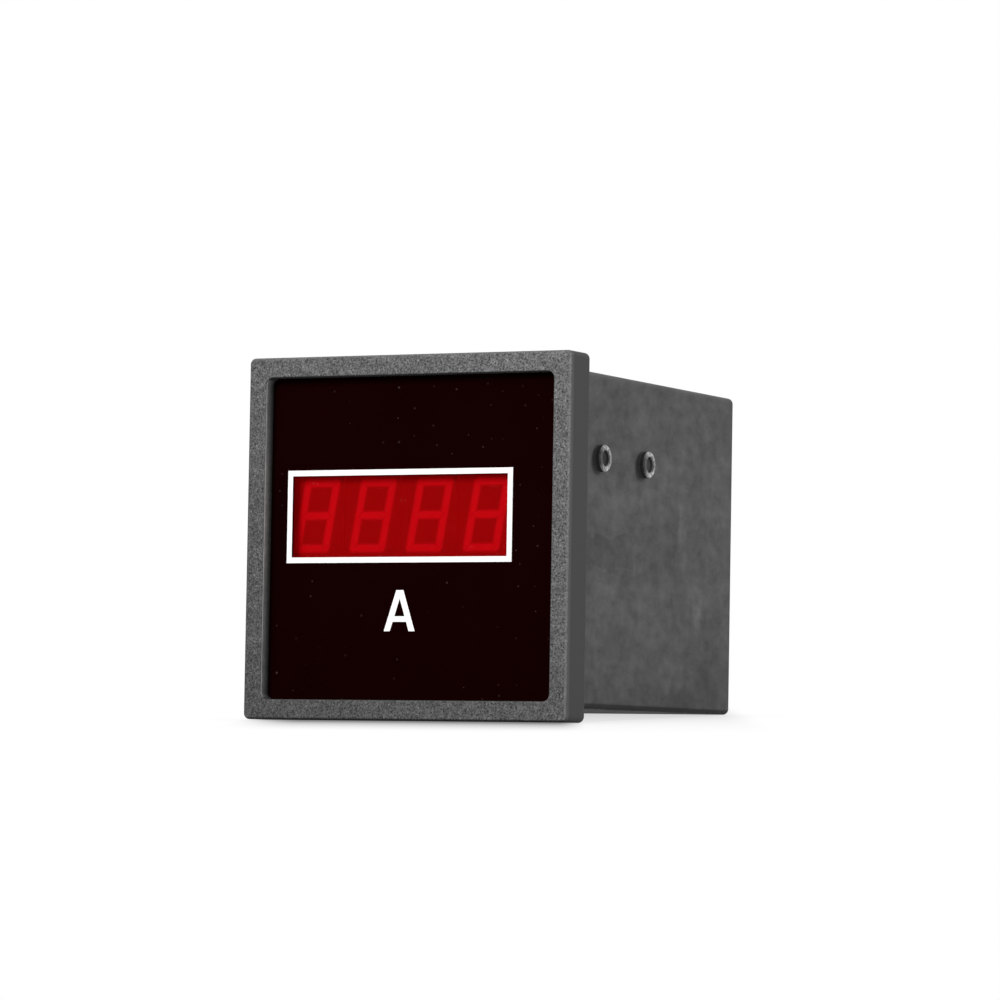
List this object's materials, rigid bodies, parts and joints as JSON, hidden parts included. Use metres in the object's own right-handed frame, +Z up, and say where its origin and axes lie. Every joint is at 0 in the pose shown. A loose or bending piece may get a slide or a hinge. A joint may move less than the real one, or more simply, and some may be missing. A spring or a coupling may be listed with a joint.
{
  "type": "digital panel meter",
  "caption": "Square flush-mounted digital panel meter: grained bezel, black dial with a red seven-segment display window, deep closed case with clamp pegs, and screw terminals at the rear.",
  "frame": {"origin": "middle of the plane where the rear of the bezel seats on the panel", "axes": "+X to the right of the dial as it is read, +Y back into the panel along the case, +Z up"},
  "size_m": [0.072, 0.083, 0.072],
  "materials": {
    "bezel_plastic": "fine spark-eroded grain, dark grey-black",
    "case_plastic": "smooth moulded, dark grey, lightly smudged",
    "dial_black": "glossy black print with a white line round the window",
    "filter_red": "clear red, glossy",
    "display_shell": "red-grey face behind the filter",
    "display_diffuser": "milky red epoxy segments",
    "board_green": "green solder resist",
    "plated_steel": "bright zinc plated",
    "chip_black": "moulded black epoxy",
    "trimmer_blue": "blue moulded plastic",
    "rotor_white": "off-white plastic",
    "header_black": "black nylon with tinned pins",
    "resistor_lacquer": "blue lacquer",
    "film_epoxy": "red-brown dipped epoxy",
    "capacitor_sleeve": "dark blue shrink sleeve",
    "sink_aluminium": "mill-finish bent sheet",
    "core_steel": "stacked varnished laminations",
    "bobbin_nylon": "cream nylon",
    "winding_tape": "amber polyester tape over copper wire",
    "potting_black": "black moulded epoxy",
    "link_copper": "bare copper wire",
    "block_plastic": "black glass-filled nylon",
    "contact_brass": "stamped brass"
  },
  "bodies": {
    "housing": {"bezel": "bezel_plastic", "case": "case_plastic", "dial_foil": "dial_black", "filter_plate": "filter_red", "digit_1": "display_shell", "digit_2": "display_shell", "digit_3": "display_shell", "digit_4": "display_shell", "diffuser_1": "display_diffuser", "diffuser_2": "display_diffuser", "diffuser_3": "display_diffuser", "diffuser_4": "display_diffuser", "display_board": "board_green", "main_board": "board_green", "board_screws": "plated_steel", "driver_chip": "chip_black", "converter_chip": "chip_black", "zero_trimmer": "trimmer_blue", "span_trimmer": "trimmer_blue", "board_header": "header_black", "resistors": "resistor_lacquer", "film_capacitors": "film_epoxy", "reservoir_capacitor": "capacitor_sleeve", "output_capacitor": "capacitor_sleeve", "bridge_rectifier": "chip_black", "voltage_regulator": "chip_black", "heat_sink": "sink_aluminium", "sink_screw": "plated_steel", "transformer_core": "core_steel", "transformer_bobbin": "bobbin_nylon", "transformer_winding": "winding_tape", "current_transformer": "potting_black", "current_link": "link_copper", "terminal_block": "block_plastic", "terminal_contacts": "contact_brass"},
    "clamp_1": {"clamp_plate_1": "plated_steel"},
    "screw_1": {"clamp_screw_1": "plated_steel"},
    "clamp_2": {"clamp_plate_2": "plated_steel"},
    "screw_2": {"clamp_screw_2": "plated_steel"},
    "clamp_3": {"clamp_plate_3": "plated_steel"},
    "screw_3": {"clamp_screw_3": "plated_steel"},
    "clamp_4": {"clamp_plate_4": "plated_steel"},
    "screw_4": {"clamp_screw_4": "plated_steel"},
    "zero_adjuster": {"zero_rotor": "rotor_white"},
    "span_adjuster": {"span_rotor": "rotor_white"}
  },
  "joints": [
    {"name": "clamp_1_lift", "type": "slide", "parent": "housing", "child": "clamp_1", "axis": [0, 1, 0], "range_m": [0, 0.002]},
    {"name": "screw_1_turn", "type": "hinge", "parent": "clamp_1", "child": "screw_1", "pos_m": [-0.0165, 0.0678, -0.0152], "axis": [0, 1, 0], "range_deg": [0, 1440]},
    {"name": "clamp_2_lift", "type": "slide", "parent": "housing", "child": "clamp_2", "axis": [0, 1, 0], "range_m": [0, 0.002]},
    {"name": "screw_2_turn", "type": "hinge", "parent": "clamp_2", "child": "screw_2", "pos_m": [-0.0055, 0.0678, -0.0152], "axis": [0, 1, 0], "range_deg": [0, 1440]},
    {"name": "clamp_3_lift", "type": "slide", "parent": "housing", "child": "clamp_3", "axis": [0, 1, 0], "range_m": [0, 0.002]},
    {"name": "screw_3_turn", "type": "hinge", "parent": "clamp_3", "child": "screw_3", "pos_m": [0.0055, 0.0678, -0.0152], "axis": [0, 1, 0], "range_deg": [0, 1440]},
    {"name": "clamp_4_lift", "type": "slide", "parent": "housing", "child": "clamp_4", "axis": [0, 1, 0], "range_m": [0, 0.002]},
    {"name": "screw_4_turn", "type": "hinge", "parent": "clamp_4", "child": "screw_4", "pos_m": [0.0165, 0.0678, -0.0152], "axis": [0, 1, 0], "range_deg": [0, 1440]},
    {"name": "zero_adjust", "type": "hinge", "parent": "housing", "child": "zero_adjuster", "pos_m": [0.01021, 0.00135, -0.00945], "axis": [0, -1, 0], "range_deg": [-135, 135]},
    {"name": "span_adjust", "type": "hinge", "parent": "housing", "child": "span_adjuster", "pos_m": [0.02021, 0.00135, -0.00945], "axis": [0, -1, 0], "range_deg": [-135, 135]}
  ],
  "couplings": [
    {"joint": "screw_1_turn", "follows": "clamp_1_lift", "rad_per_m": 12566},
    {"joint": "screw_2_turn", "follows": "clamp_2_lift", "rad_per_m": 12566},
    {"joint": "screw_3_turn", "follows": "clamp_3_lift", "rad_per_m": 12566},
    {"joint": "screw_4_turn", "follows": "clamp_4_lift", "rad_per_m": 12566}
  ]
}
